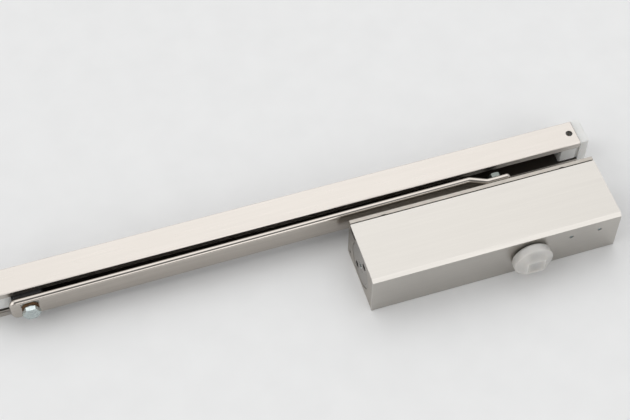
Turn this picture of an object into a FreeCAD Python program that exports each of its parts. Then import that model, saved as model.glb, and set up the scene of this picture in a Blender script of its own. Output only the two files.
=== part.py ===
import FreeCAD, Part
import math
import os
import re
import Sketcher

# Overhead door closer with a slide rail, lying on its back.
# +X runs along the closer, +Y from the spindle cap towards the rail, +Z from the mounting plane to the front.
# The origin is the middle of the body's mounting holes, on the mounting plane.

V = FreeCAD.Vector

SIZES = {
    # Closer body and its folded cover
    "body_length": 182,
    "body_width": 52,
    "body_depth": 38,
    "cover_sheet": 1.5,
    "cover_bevel": 2.45,
    "cover_overhang": 0.3,
    "cover_foot": 0.4,
    "hem_drop": 2,
    "lip_width": 2.7,
    "lip_groove": 0.8,
    "channel_width": 10.9,
    "channel_depth": 4.8,
    "seat_gap": 0.05,
    # Mounting holes of the body
    "mount_inset": 24.5,
    "mount_spread": 39,
    "mount_radius": 2.6,
    "mount_head_radius": 4.3,
    "mount_head_depth": 3.7,
    "lock_radius": 1.5,
    "lock_depth": 8,
    "lock_inset": 4.5,
    "lock_height": 5.5,
    # Cylinder, end plugs and their seals
    "bore_radius": 15,
    "spindle_height": 19,
    "plug_radius": 16.5,
    "plug_length": 12.8,
    "plug_recess": 0.2,
    "plug_chamfer": 0.4,
    "spanner_circle": 10.2,
    "spanner_radius": 2.6,
    "spanner_depth": 5,
    "spanner_turn": 50,
    "seal_radius": 1.1,
    "power_radius": 2.6,
    "power_reach": 4,
    "power_recess": 0.2,
    "socket_radius": 1.5,
    "socket_depth": 3,
    # Spindle, pinion and what carries them
    "running_gap": 0.05,
    "journal_radius": 8,
    "drive_square": 10,
    "pinion_module": 1.5,
    "pinion_teeth": 12,
    "pinion_width": 16,
    "tooth_slack": 0.08,
    "tooth_overcut": 0.3,
    "opening_angle": 170,
    "cross_radius": 13,
    "bearing_gap": 0.3,
    "spindle_seal_width": 2.2,
    "gland_width": 2.35,
    "collar_radius": 11,
    "collar_height": 3,
    "gland_hole_radius": 1.2,
    "gland_hole_depth": 2,
    # Piston and its one-way valve
    "piston_wall": 10,
    "window_gap": 1,
    "end_gap": 4.8,
    "ball_radius": 2.4,
    "ball_play": 0.15,
    "port_radius": 1.3,
    "retainer_radius": 3.5,
    "retainer_length": 2,
    # Spring
    "spring_radius": 11.8,
    "spring_wire": 1.9,
    "spring_turns": 7,
    "spring_seat_radius": 14.4,
    "spring_seat_length": 4,
    "spring_guide_length": 6,
    "spring_guide_gap": 0.4,
    # Regulating screws
    "closing_offset": 30.3,
    "latching_offset": 51.5,
    "valve_height": 26,
    "valve_radius": 3,
    "valve_length": 7,
    "valve_recess": 0.6,
    "valve_window": 1.5,
    "valve_nose_radius": 1.2,
    "valve_sunk": 0.35,
    "valve_slot": 0.5,
    "needle_radius": 0.9,
    "needle_length": 1.2,
    "valve_seal_radius": 0.6,
    # Spindle cap
    "cap_radius": 14.2,
    "cap_neck_radius": 9.4,
    "cap_hole_gap": 0.6,
    "cap_standoff": 2.6,
    "cap_skirt": 7.6,
    "cap_reach": 13.6,
    "cap_front_radius": 10.2,
    "cap_front_flat": 8,
    "cap_flat_lead": 0.4,
    "cap_edge": 0.5,
    "cap_sides": 5,
    "cap_dimple_radius": 5.5,
    "cap_dimple_depth": 1,
    "cap_inset": 0.9,
    "tail_length": 9,
    # Slide arm and its screw
    "arm_length": 339.2,
    "arm_width": 19,
    "arm_thickness": 5,
    "arm_rise": 6.4,
    "arm_joggle": 5.3,
    "joggle_start": 8.5,
    "joggle_run": 11.6,
    "arm_bend_radius": 4,
    "arm_end": 13.7,
    "arm_corner": 5,
    "arm_flat": 0.3,
    "arm_heel": 9.2,
    "drive_gap": 0.1,
    "drive_recess": 0.2,
    "arm_screw_radius": 3,
    "arm_screw_length": 12,
    "arm_screw_flats": 10,
    "arm_screw_head": 4.4,
    "arm_washer_radius": 6.4,
    "washer_thickness": 1,
    "washer_gap": 0.3,
    # Pivot between arm and slide block
    "bush_radius": 6,
    "bush_front": 1,
    "bush_back": 0.6,
    "pivot_radius": 4,
    "pivot_flats": 12,
    "pivot_head": 3.5,
    "pivot_collar_radius": 5.2,
    "pivot_washer_radius": 5.6,
    "nut_flats": 12,
    "nut_length": 5,
    "nut_gap": 0.1,
    # Guide rail
    "rail_length": 432.8,
    "rail_width": 20.4,
    "rail_depth": 27,
    "rail_wall": 2,
    "rail_gap": 3.9,
    "slot_height": 15.5,
    "slot_width": 12.8,
    "slot_sill": 0.6,
    "channel_floor": 6.5,
    "rail_groove": 1.2,
    "rail_groove_height": 4.6,
    "rail_groove_depth": 0.8,
    "rail_back_recess": 2.6,
    "rail_foot": 4,
    "rail_edge": 0.6,
    "rail_hole_radius": 2.5,
    "rail_hole_inset": 4.8,
    # Slide block and end caps of the rail
    "block_length": 21,
    "block_depth": 11,
    "block_gap": 0.3,
    "block_proud": 2.5,
    "block_corner": 2,
    "stop_gap": 0.8,
    "insert_length": 14,
    "insert_gap": 0.1,
    "tongue_start": 2.5,
    "tongue_recess": 0.4,
    "insert_hole_gap": 0.8,
    "cap_seam": 0.3,
    "cap_flange": 6.8,
    "cap_flange_corner": 0.9,
}

# Half the bend of a 45 degree fold, for an even sheet round the bevel
FOLD = "tan(22.5 deg)"
# Flank slope of the rack, and how far its teeth and gaps reach from the pitch line, in modules
FLANK = "tan(20 deg)"
RACK_TOOTH = 0.46
RACK_GAP = 1.25
# Half width of a pinion gap at its root, pitch line and tip, as shares of half a tooth pitch
GAP_ROOT = 0.40
GAP_PITCH = 0.53
GAP_TIP = 0.87

# Places along X, Y and Z that several pieces share
PITCH_RADIUS = "(pinion_module * pinion_teeth / 2)"
TIP_RADIUS = f"({PITCH_RADIUS} + pinion_module)"
ROOT_RADIUS = f"({PITCH_RADIUS} - 1.3 * pinion_module)"
TOOTH_PITCH = "(pinion_module * pi)"
TRAVEL = f"({PITCH_RADIUS} * opening_angle * pi / 180)"
HALF_WIDTH = "(body_width / 2)"
HOUSING_END = "(body_length / 2 - cover_overhang)"
PLUG_FACE = f"({HOUSING_END} - plug_recess)"
PLUG_INNER = f"({PLUG_FACE} - plug_length)"
PISTON_RIGHT = f"({PLUG_INNER} - end_gap)"
SPINDLE_X = f"({PISTON_RIGHT} - piston_wall - window_gap - {TIP_RADIUS} - {TRAVEL})"
PISTON_LEFT = f"({SPINDLE_X} - {TIP_RADIUS} - window_gap - piston_wall)"
SPRING_LEFT = f"(-{PLUG_INNER} + power_reach + spring_seat_length)"
HOUSING_LOW = f"({HALF_WIDTH} - cover_sheet - seat_gap)"
LAND = "(body_depth - cover_sheet - seat_gap)"
GLAND_START = f"({HOUSING_LOW} - gland_width)"
SEAL_START = f"({GLAND_START} - spindle_seal_width)"
BEARING_START = "(bore_radius + bearing_gap)"
COLLAR_TOP = f"({HALF_WIDTH} + collar_height)"
ARM_SEAT = f"({HALF_WIDTH} + arm_rise)"
ARM_MAIN = f"({ARM_SEAT} + arm_joggle)"
ARM_BACK = f"({ARM_MAIN} + arm_thickness)"
RAIL_FACE = f"({ARM_BACK} + rail_gap)"
ARM_DROP = "(spindle_height - slot_height)"
ARM_TILT = f"asin({ARM_DROP} / arm_length)"
PIVOT_X = f"({SPINDLE_X} - sqrt(arm_length ^ 2 - {ARM_DROP} ^ 2))"
RAIL_LEFT = f"({PIVOT_X} - block_length / 2 - stop_gap - insert_length)"
CHANNEL_TOP = "(rail_depth - rail_wall)"
BOLT_SEAT = f"({ARM_MAIN} - bush_front - washer_thickness)"
NUT_START = f"({RAIL_FACE} + rail_wall + block_gap + block_depth - nut_length)"

ALONG_X = FreeCAD.Rotation(V(0, 1, 0), 90)
ALONG_Y = FreeCAD.Rotation(V(1, 0, 0), -90)
ALONG_MINUS_Y = FreeCAD.Rotation(V(1, 0, 0), 90)
ALONG_Z = FreeCAD.Rotation()
MIRRORED = FreeCAD.Rotation(V(0, 0, 1), 180)

doc = FreeCAD.newDocument("DoorCloser")
sheet = doc.addObject("Spreadsheet::Sheet", "Sizes")
for row, (alias, value) in enumerate(SIZES.items(), start=1):
    sheet.set(f"A{row}", alias.replace("_", " "))
    sheet.set(f"B{row}", str(value))
    sheet.setAlias(f"B{row}", alias)
doc.recompute()
nodes = []


def in_sheet(text):
    """Turns plain size names into references to the sheet's cells."""
    return re.sub(r"[a-z_]{4,}", lambda word: f"Sizes.{word[0]}" if word[0] in SIZES else word[0], str(text))


def bind(thing, prop, text):
    thing.setExpression(prop, in_sheet(text))


def put(thing, x="0", y="0", z="0", turn=ALONG_Z):
    """Places an object at bound coordinates, turned by a fixed rotation."""
    thing.Placement = FreeCAD.Placement(V(), turn)
    bind(thing, "Placement.Base.x", x)
    bind(thing, "Placement.Base.y", y)
    bind(thing, "Placement.Base.z", z)
    return thing


def new_body(label):
    body = doc.addObject("PartDesign::Body", label)
    body.Label = label
    nodes.append(body)
    return body


def new_sketch(body, role, name):
    sketch = body.newObject("Sketcher::SketchObject", f"{body.Label}_{name}")
    plane = next(item for item in body.Origin.OriginFeatures if item.Role == role)
    sketch.AttachmentSupport = (plane, "")
    sketch.MapMode = "FlatFace"
    return sketch


def draw_polygon(sketch, points):
    """Draws a closed outline whose corners are each bound to a pair of expressions."""
    count = len(points)
    step = 2 * math.pi / count
    start = [V(math.cos(step * i), math.sin(step * i), 0) for i in range(count)]
    for i in range(count):
        sketch.addGeometry(Part.LineSegment(start[i], start[(i + 1) % count]), False)
    for i in range(count):
        sketch.addConstraint(Sketcher.Constraint("Coincident", i, 2, (i + 1) % count, 1))
    for i, (across, up) in enumerate(points):
        flat = sketch.addConstraint(Sketcher.Constraint("DistanceX", -1, 1, i, 1, start[i].x))
        bind(sketch, f"Constraints[{flat}]", across)
        tall = sketch.addConstraint(Sketcher.Constraint("DistanceY", -1, 1, i, 1, start[i].y))
        bind(sketch, f"Constraints[{tall}]", up)


def pad_outline(body, role, points, length, name="outline"):
    """Pads an outline evenly to both sides of one of the body's own planes."""
    sketch = new_sketch(body, role, name)
    draw_polygon(sketch, points)
    doc.recompute()
    pad = body.newObject("PartDesign::Pad", f"{body.Label}_{name}_pad")
    pad.Profile = sketch
    pad.SideType = "Symmetric"
    bind(pad, "Length", length)
    doc.recompute()
    return pad


def pocket_outline(body, role, points, length, name):
    """Cuts an outline evenly to both sides of one of the body's own planes."""
    sketch = new_sketch(body, role, name)
    draw_polygon(sketch, points)
    doc.recompute()
    pocket = body.newObject("PartDesign::Pocket", f"{body.Label}_{name}_cut")
    pocket.Profile = sketch
    pocket.SideType = "Symmetric"
    bind(pocket, "Length", length)
    doc.recompute()
    return pocket


def turn_outline(label, axis, points):
    """Revolves an outline given as pairs of (place along the axis, radius) about X or Y."""
    body = new_body(label)
    sketch = new_sketch(body, "XY_Plane", "profile")
    draw_polygon(sketch, points if axis == "X" else [(radius, along) for along, radius in points])
    doc.recompute()
    turned = body.newObject("PartDesign::Revolution", f"{label}_turned")
    turned.Profile = sketch
    turned.ReferenceAxis = (sketch, ["H_Axis" if axis == "X" else "V_Axis"])
    turned.Angle = 360
    doc.recompute()
    return body


def ring(label, axis, start, end, inner, outer):
    return turn_outline(label, axis, [(start, inner), (end, inner), (end, outer), (start, outer)])


def add_shape(body, kind, name, turn, at, **sizes):
    """Adds or cuts one of the body's own primitives, with bound sizes and place."""
    shape = body.newObject(f"PartDesign::{kind}", f"{body.Label}_{name}")
    for prop, text in sizes.items():
        bind(shape, prop, text)
    put(shape, *at, turn)
    doc.recompute()
    return shape


def drill(body, name, turn, at, radius, length):
    return add_shape(body, "SubtractiveCylinder", name, turn, at, Radius=radius, Height=length)


def add_hex(body, kind, name, turn, at, flats, length):
    return add_shape(body, kind, name, turn, at, Polygon="6", Circumradius=f"{flats} / sqrt(3)", Height=length)


def round_edges(body, name, radius, wanted):
    """Rounds the edges whose middle and direction satisfy the test that is given."""
    base = body.Tip
    names = []
    for number, edge in enumerate(base.Shape.Edges, start=1):
        span = edge.Vertexes[-1].Point - edge.Vertexes[0].Point
        if span.Length > 1e-6 and wanted(edge.CenterOfMass, span.normalize()):
            names.append(f"Edge{number}")
    fillet = body.newObject("PartDesign::Fillet", f"{body.Label}_{name}")
    fillet.Base = (base, names)
    bind(fillet, "Radius", radius)
    doc.recompute()
    return fillet


def group(label, members):
    """Makes one node of several separate solids that are alike."""
    compound = doc.addObject("Part::Compound", label)
    compound.Label = label
    compound.Links = members
    for member in members:
        nodes.remove(member)
    nodes.append(compound)
    return compound


def make_housing():
    """Cast body: cylinder bore along X, spindle bore along Y, and a lip beside the cover's edge."""
    body = new_body("housing")
    lip = f"({HALF_WIDTH} - lip_width)"
    floor = f"({LAND} - channel_depth)"
    pad_outline(body, "YZ_Plane", [
        (f"-{HOUSING_LOW}", "0"),
        (HALF_WIDTH, "0"),
        (HALF_WIDTH, "body_depth"),
        (lip, "body_depth"),
        (lip, floor),
        (f"{lip} - channel_width", floor),
        (f"{lip} - channel_width", LAND),
        (f"-{HOUSING_LOW} + cover_bevel", LAND),
        (f"-{HOUSING_LOW}", f"{LAND} - cover_bevel"),
    ], f"2 * {HOUSING_END}")
    drill(body, "cylinder", ALONG_X, ("-body_length", "0", "spindle_height"), "bore_radius", "2 * body_length")
    seat = f"plug_length + plug_recess"
    drill(body, "left_seat", ALONG_X, (f"-{HOUSING_END}", "0", "spindle_height"), "plug_radius + seat_gap", seat)
    drill(body, "right_seat", ALONG_X, (PLUG_INNER, "0", "spindle_height"), "plug_radius + seat_gap", seat)
    drill(body, "spindle_bore", ALONG_Y, (SPINDLE_X, "-body_width", "spindle_height"), "cross_radius",
          "2 * body_width")
    for name, offset in (("closing", "closing_offset"), ("latching", "latching_offset")):
        place = f"{SPINDLE_X} + {offset}"
        depth = f"{HOUSING_LOW} - valve_recess"
        drill(body, f"{name}_bore", ALONG_Y, (place, f"-{HOUSING_LOW}", "valve_height"), "valve_radius + running_gap",
              "valve_recess + valve_length + seat_gap")
        drill(body, f"{name}_port", ALONG_Y, (place, f"-({depth})", "valve_height"), "needle_radius + running_gap",
              depth)
    for side_x in (-1, 1):
        for side_y in (-1, 1):
            name = f"mount_{side_x + 1}{side_y + 1}"
            at = (f"{side_x} * (body_length / 2 - mount_inset)", f"{side_y} * mount_spread / 2")
            drill(body, name, ALONG_Z, (*at, "-body_depth"), "mount_radius", "3 * body_depth")
            drill(body, f"{name}_head", ALONG_Z, (*at, f"{LAND} - channel_depth - mount_head_depth"),
                  "mount_head_radius", "body_depth")
        lock = f"{HOUSING_END} - lock_depth" if side_x > 0 else f"-{HOUSING_END}"
        drill(body, f"lock_{side_x + 1}", ALONG_X, (lock, f"{HALF_WIDTH} - lock_inset", "lock_height"), "lock_radius",
              "lock_depth")


def make_front_cover():
    """Folded sheet over the front and lower side, hooked into the channel by a hem."""
    body = new_body("front_cover")
    edge = f"({HALF_WIDTH} - lip_width - lip_groove)"
    fold = f"(cover_bevel + cover_sheet * {FOLD})"
    pad_outline(body, "YZ_Plane", [
        (f"-{HALF_WIDTH}", "cover_foot"),
        (f"-{HALF_WIDTH} + cover_sheet", "cover_foot"),
        (f"-{HALF_WIDTH} + cover_sheet", f"body_depth - {fold}"),
        (f"-{HALF_WIDTH} + {fold}", "body_depth - cover_sheet"),
        (f"{edge} - cover_sheet", "body_depth - cover_sheet"),
        (f"{edge} - cover_sheet", "body_depth - cover_sheet - hem_drop"),
        (edge, "body_depth - cover_sheet - hem_drop"),
        (edge, "body_depth"),
        (f"-{HALF_WIDTH} + cover_bevel", "body_depth"),
        (f"-{HALF_WIDTH}", "body_depth - cover_bevel"),
    ], "body_length")
    drill(body, "cap_hole", ALONG_Y, (SPINDLE_X, f"-body_width", "spindle_height"), "cap_neck_radius + cap_hole_gap",
          f"body_width / 2 + 2 * cover_sheet")
    for name, offset in (("closing", "closing_offset"), ("latching", "latching_offset")):
        drill(body, f"{name}_window", ALONG_Y, (f"{SPINDLE_X} + {offset}", "-body_width", "valve_height"),
              "valve_window", "body_width / 2 + 2 * cover_sheet")


def plug_outline():
    """Half section of an end plug from its outer face inwards, with a groove for its seal."""
    middle = "(plug_length / 2)"
    groove = "(plug_radius - 2 * seal_radius)"
    return [
        ("0", "0"),
        ("plug_length", "0"),
        ("plug_length", "plug_radius"),
        (f"{middle} + seal_radius", "plug_radius"),
        (f"{middle} + seal_radius", groove),
        (f"{middle} - seal_radius", groove),
        (f"{middle} - seal_radius", "plug_radius"),
        ("plug_chamfer", "plug_radius"),
        ("0", "plug_radius - plug_chamfer"),
    ]


def make_plug(label, place, turn):
    body = turn_outline(label, "X", plug_outline())
    for side in (-1, 1):
        across = f"{side} * spanner_circle * cos(spanner_turn * 1 deg)"
        up = f"-1 * {side} * spanner_circle * sin(spanner_turn * 1 deg)"
        drill(body, f"spanner_{side + 1}", ALONG_X, ("0", across, up), "spanner_radius", "spanner_depth")
    put(body, place, "0", "spindle_height", turn)
    return body


def make_plugs():
    """Screwed end plugs: the left one holds the spring's adjusting screw."""
    left = make_plug("left_plug", f"-{PLUG_FACE}", ALONG_Z)
    drill(left, "screw_hole", ALONG_X, ("-plug_length", "0", "0"), "power_radius + running_gap", "3 * plug_length")
    make_plug("right_plug", PLUG_FACE, MIRRORED)
    rings = []
    for side in (-1, 1):
        middle = f"({side} * ({PLUG_FACE} - plug_length / 2))"
        seal = ring(f"plug_seal_{side + 1}", "X", "-seal_radius", "seal_radius", "plug_radius - 2 * seal_radius",
                    "plug_radius")
        rings.append(put(seal, middle, "0", "spindle_height"))
    group("plug_seals", rings)


def make_power_screw():
    """Adjusting screw through the left plug, which pushes the spring's seat."""
    length = "plug_length - power_recess + power_reach"
    body = ring("power_screw", "X", "0", length, "0", "power_radius")
    add_shape(body, "SubtractivePrism", "socket", ALONG_X, ("0", "0", "0"), Polygon="6", Circumradius="socket_radius",
              Height="socket_depth")
    put(body, f"-{PLUG_FACE} + power_recess", "0", "spindle_height")


def make_spring():
    """Main spring of square wire between its seat and the piston, with the seat's guide inside it."""
    body = turn_outline("spring_seat", "X", [
        ("0", "0"),
        ("spring_seat_length + spring_guide_length", "0"),
        ("spring_seat_length + spring_guide_length", "spring_radius - spring_wire - 2 * spring_guide_gap"),
        ("spring_seat_length", "spring_radius - spring_wire - spring_guide_gap"),
        ("spring_seat_length", "spring_seat_radius"),
        ("0", "spring_seat_radius"),
    ])
    put(body, f"-{PLUG_INNER} + power_reach", "0", "spindle_height")
    spring = new_body("main_spring")
    sketch = new_sketch(spring, "XZ_Plane", "wire")
    inner = "(spring_radius - spring_wire)"
    outer = "(spring_radius + spring_wire)"
    draw_polygon(sketch, [(inner, "0"), (outer, "0"), (outer, "2 * spring_wire"), (inner, "2 * spring_wire")])
    doc.recompute()
    coil = spring.newObject("PartDesign::AdditiveHelix", "main_spring_coil")
    coil.Profile = sketch
    coil.ReferenceAxis = (sketch, ["V_Axis"])
    coil.Mode = 2
    bind(coil, "Height", f"{PISTON_LEFT} - {SPRING_LEFT} - 2 * spring_wire")
    bind(coil, "Turns", "spring_turns")
    put(spring, SPRING_LEFT, "0", "spindle_height", ALONG_X)
    doc.recompute()


def gap_corner(radius, share, side):
    """A corner of the pinion's tooth gap, which is centred straight down."""
    angle = f"({share} * 180 deg / pinion_teeth)"
    return (f"{side} * {radius} * sin({angle})", f"-{radius} * cos({angle})")


def make_spindle():
    """Shaft with twelve pinion teeth in its middle and a square at each end, turned about Y."""
    half = "(pinion_width / 2)"
    tail = f"({HALF_WIDTH} + tail_length)"
    head = f"({ARM_SEAT} + arm_thickness - drive_recess)"
    body = turn_outline("spindle", "Y", [
        (f"-{HALF_WIDTH}", "0"),
        (ARM_SEAT, "0"),
        (ARM_SEAT, "journal_radius"),
        (half, "journal_radius"),
        (half, TIP_RADIUS),
        (f"-{half}", TIP_RADIUS),
        (f"-{half}", "journal_radius"),
        (f"-{HALF_WIDTH}", "journal_radius"),
    ])
    side = "drive_square"
    corner = "-drive_square / 2"
    add_shape(body, "AdditiveBox", "upper_square", ALONG_Z, (corner, ARM_SEAT, corner), Length=side, Height=side,
              Width=f"{head} - {ARM_SEAT}")
    add_shape(body, "AdditiveBox", "lower_square", ALONG_Z, (corner, f"-{tail}", corner), Length=side, Height=side,
              Width="tail_length")
    drill(body, "screw_hole", ALONG_MINUS_Y, ("0", head, "0"), "arm_screw_radius + running_gap",
          "arm_screw_length - drive_recess")
    tip = f"({TIP_RADIUS} + tooth_overcut)"
    flank = [(ROOT_RADIUS, GAP_ROOT), (PITCH_RADIUS, GAP_PITCH), (tip, GAP_TIP)]
    gap = [gap_corner(radius, share, -1) for radius, share in flank]
    gap += [gap_corner(radius, share, 1) for radius, share in reversed(flank)]
    first = pocket_outline(body, "XZ_Plane", gap, "pinion_width", "gap")
    pattern = body.newObject("PartDesign::PolarPattern", "spindle_teeth")
    pattern.Originals = [first]
    pattern.Axis = (next(item for item in body.Origin.OriginFeatures if item.Role == "Y_Axis"), [""])
    pattern.Angle = 360
    bind(pattern, "Occurrences", "pinion_teeth")
    body.Tip = pattern
    put(body, SPINDLE_X, "0", "spindle_height")
    doc.recompute()


def make_spindle_bearings():
    """Bearing rings, seals and screwed glands on both sides of the cylinder."""
    inner = "journal_radius + running_gap"
    outer = "cross_radius - seat_gap"
    spots = (("bearing", BEARING_START, SEAL_START), ("seal", SEAL_START, GLAND_START))
    for name, start, end in spots:
        pair = [
            ring(f"upper_{name}", "Y", f"{start} + seat_gap", end, inner, outer),
            ring(f"lower_{name}", "Y", f"-{end}", f"-{start} - seat_gap", inner, outer),
        ]
        for piece in pair:
            put(piece, SPINDLE_X, "0", "spindle_height")
        group(f"spindle_{name}s", pair)
    upper = turn_outline("upper_gland", "Y", [
        (f"{GLAND_START} + seat_gap", inner),
        (COLLAR_TOP, inner),
        (COLLAR_TOP, "collar_radius"),
        (HALF_WIDTH, "collar_radius"),
        (HALF_WIDTH, outer),
        (f"{GLAND_START} + seat_gap", outer),
    ])
    lower = ring("lower_gland", "Y", f"-{HOUSING_LOW}", f"-{GLAND_START} - seat_gap", inner, outer)
    circle = "(journal_radius + collar_radius) / 2"
    for side in (-1, 1):
        across = f"{side} * {circle}"
        drill(upper, f"pin_hole_{side + 1}", ALONG_MINUS_Y, (across, COLLAR_TOP, "0"), "gland_hole_radius",
              "gland_hole_depth")
        drill(lower, f"pin_hole_{side + 1}", ALONG_Y, (across, f"-{HOUSING_LOW}", "0"), "gland_hole_radius",
              "gland_hole_depth / 2")
    for piece in (upper, lower):
        put(piece, SPINDLE_X, "0", "spindle_height")


def make_piston():
    """Piston with a window for the pinion and a rack along the window's lower side."""
    body = new_body("piston")
    start = f"({PISTON_LEFT} - {SPINDLE_X})"
    end = f"({PISTON_RIGHT} - {SPINDLE_X})"
    add_shape(body, "AdditiveCylinder", "blank", ALONG_X, (start, "0", "0"), Radius="bore_radius - running_gap",
              Height=f"{end} - {start}")
    rack_tip = f"(-{PITCH_RADIUS} + {RACK_TOOTH} * pinion_module)"
    rack_root = f"(-{PITCH_RADIUS} - {RACK_GAP} * pinion_module)"
    left = f"({start} + piston_wall)"
    right = f"({end} - piston_wall)"
    ceiling = f"({TIP_RADIUS} + window_gap)"
    pocket_outline(body, "XZ_Plane", [(left, rack_tip), (right, rack_tip), (right, ceiling), (left, ceiling)],
                   "3 * bore_radius", "window")
    first = f"(-1.5 * {TOOTH_PITCH})"
    wide = f"({TOOTH_PITCH} / 4 + {RACK_TOOTH} * pinion_module * {FLANK} + tooth_slack)"
    narrow = f"({TOOTH_PITCH} / 4 - {RACK_GAP} * pinion_module * {FLANK} + tooth_slack)"
    above = f"({rack_tip} + tooth_overcut)"
    space = pocket_outline(body, "XZ_Plane", [
        (f"{first} - {narrow}", rack_root),
        (f"{first} + {narrow}", rack_root),
        (f"{first} + {wide}", rack_tip),
        (f"{first} + {wide}", above),
        (f"{first} - {wide}", above),
        (f"{first} - {wide}", rack_tip),
    ], "3 * bore_radius", "rack_gap")
    pattern = body.newObject("PartDesign::LinearPattern", "piston_rack")
    pattern.Originals = [space]
    pattern.Direction = (next(item for item in body.Origin.OriginFeatures if item.Role == "X_Axis"), [""])
    pitch = SIZES["pinion_module"] * math.pi
    travel = SIZES["pinion_module"] * SIZES["pinion_teeth"] / 2 * math.radians(SIZES["opening_angle"])
    count = 4 + math.ceil(travel / pitch)
    pattern.Occurrences = count
    bind(pattern, "Length", f"{TOOTH_PITCH} * {count - 1}")
    body.Tip = pattern
    doc.recompute()
    seat = f"({end} - retainer_length)"
    room = "(2 * ball_radius + 4 * ball_play)"
    drill(body, "retainer_seat", ALONG_X, (seat, "0", "0"), "retainer_radius", "2 * retainer_length")
    drill(body, "ball_room", ALONG_X, (f"{seat} - {room}", "0", "0"), "ball_radius + ball_play", f"2 * {room}")
    drill(body, "port", ALONG_X, (f"{right} - window_gap", "0", "0"), "port_radius", "piston_wall")
    put(body, SPINDLE_X, "0", "spindle_height")
    ball = doc.addObject("Part::Sphere", "check_ball")
    ball.Label = "check_ball"
    bind(ball, "Radius", "ball_radius")
    put(ball, f"{PISTON_RIGHT} - retainer_length - ball_radius - 2 * ball_play", "0", "spindle_height")
    nodes.append(ball)
    retainer = ring("ball_retainer", "X", "0", "retainer_length", "port_radius", "retainer_radius - seat_gap")
    put(retainer, f"{PISTON_RIGHT} - retainer_length", "0", "spindle_height")


def make_valve(label, offset):
    """Regulating screw with a slotted nose in the cover's window, a needle point and a groove for its seal."""
    groove = "(valve_radius - 2 * valve_seal_radius)"
    middle = "(valve_length / 2)"
    nose = "(cover_sheet + seat_gap + valve_recess - valve_sunk)"
    body = turn_outline(label, "Y", [
        (f"-{nose}", "0"),
        ("valve_length + needle_length", "0"),
        ("valve_length", "needle_radius"),
        ("valve_length", "valve_radius"),
        (f"{middle} + valve_seal_radius", "valve_radius"),
        (f"{middle} + valve_seal_radius", groove),
        (f"{middle} - valve_seal_radius", groove),
        (f"{middle} - valve_seal_radius", "valve_radius"),
        ("0", "valve_radius"),
        ("0", "valve_nose_radius"),
        (f"-{nose}", "valve_nose_radius"),
    ])
    add_shape(body, "SubtractiveBox", "slot", ALONG_Z,
              ("-2 * valve_radius", f"-{nose} - valve_slot", "-valve_slot / 2"),
              Length="4 * valve_radius", Width="2 * valve_slot", Height="valve_slot")
    put(body, f"{SPINDLE_X} + {offset}", f"-{HOUSING_LOW} + valve_recess", "valve_height")
    return body


def make_valves():
    """Regulating screws for the closing and the latching speed, with their sealing rings."""
    rings = []
    for label, offset in (("closing_valve", "closing_offset"), ("latching_valve", "latching_offset")):
        make_valve(label, offset)
        seal = ring(f"{label}_seal", "Y", "-valve_seal_radius", "valve_seal_radius",
                    "valve_radius - 2 * valve_seal_radius + running_gap", "valve_radius")
        at = f"-{HOUSING_LOW} + valve_recess + valve_length / 2"
        rings.append(put(seal, f"{SPINDLE_X} + {offset}", at, "valve_height"))
    group("valve_seals", rings)


def make_spindle_cap():
    """Moulded cap on the spindle's lower square: neck in the cover, round skirt, flats and a dimpled front."""
    shoulder = f"(-{HALF_WIDTH} - cap_skirt)"
    front = f"(-{HALF_WIDTH} - cap_reach)"
    body = turn_outline("spindle_cap", "Y", [
        (f"{front} + cap_dimple_depth", "0"),
        (front, "cap_dimple_radius"),
        (front, "cap_front_radius"),
        (shoulder, "cap_radius"),
        (f"-{HALF_WIDTH} - cap_standoff", "cap_radius"),
        (f"-{HALF_WIDTH} - cap_standoff", "cap_neck_radius"),
        (f"-{HALF_WIDTH} + cap_inset", "cap_neck_radius"),
        (f"-{HALF_WIDTH} + cap_inset", "0"),
    ])
    first = pocket_outline(body, "YZ_Plane", [
        (shoulder, "cap_radius + cap_flat_lead"),
        (front, "cap_front_flat"),
        (f"2 * {front}", "cap_front_flat"),
        (f"2 * {front}", "2 * cap_radius"),
        (shoulder, "2 * cap_radius"),
    ], "4 * cap_radius", "flat")
    pattern = body.newObject("PartDesign::PolarPattern", "spindle_cap_flats")
    pattern.Originals = [first]
    pattern.Axis = (next(item for item in body.Origin.OriginFeatures if item.Role == "Y_Axis"), [""])
    pattern.Angle = 360
    bind(pattern, "Occurrences", "cap_sides")
    body.Tip = pattern
    doc.recompute()
    rim = -SIZES["body_width"] / 2 - SIZES["cap_reach"]
    round_edges(body, "rim", "cap_edge", lambda at, way: abs(at.y - rim) < 0.01)
    socket = "(drive_square + drive_gap)"
    add_shape(body, "SubtractiveBox", "socket", ALONG_Z,
              (f"-{socket} / 2", f"-{HALF_WIDTH} - tail_length - drive_gap", f"-{socket} / 2"),
              Length=socket, Height=socket, Width="2 * tail_length")
    drill(body, "journal_room", ALONG_Y, ("0", f"-{HALF_WIDTH} - drive_gap", "0"), "journal_radius + drive_gap",
          "2 * cap_inset")
    put(body, SPINDLE_X, "0", "spindle_height")


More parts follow.
